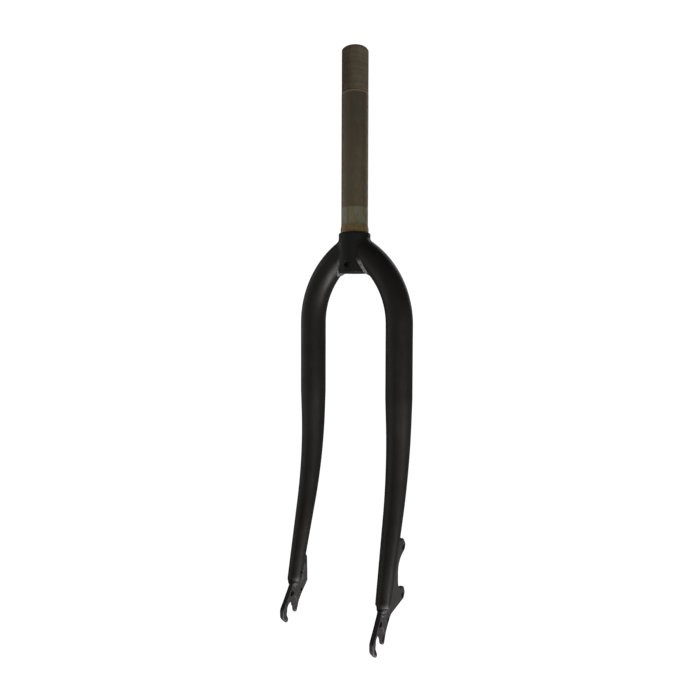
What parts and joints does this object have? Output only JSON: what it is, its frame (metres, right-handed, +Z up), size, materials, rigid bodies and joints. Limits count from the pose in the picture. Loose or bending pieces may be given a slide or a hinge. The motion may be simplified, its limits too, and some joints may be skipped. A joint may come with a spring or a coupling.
{
  "type": "bicycle fork",
  "caption": "Rigid bicycle fork with a threaded steerer, arched round blades that bend forward, open slot dropouts and disc brake tabs on the rider's left.",
  "frame": {"origin": "on the steering axis at the crown race shoulder, where the race seat starts", "axes": "+Z up the steerer, -Y forward in the direction of travel, +X to the rider's left, the side of the disc brake tabs"},
  "size_m": [0.1328, 0.0775, 0.6013],
  "materials": {
    "bare_steel": "turned steel with a brown oil film",
    "blade_paint": "satin black paint",
    "plate_paint": "semi-gloss black paint on stamped plate",
    "weld_paint": "satin black paint over weld metal"
  },
  "bodies": {
    "root": {"steerer_tube": "bare_steel", "left_blade": "blade_paint", "right_blade": "blade_paint", "left_dropout": "plate_paint", "right_dropout": "plate_paint", "left_crown_weld": "weld_paint", "right_crown_weld": "weld_paint", "left_dropout_weld": "weld_paint", "right_dropout_weld": "weld_paint"}
  },
  "joints": []
}
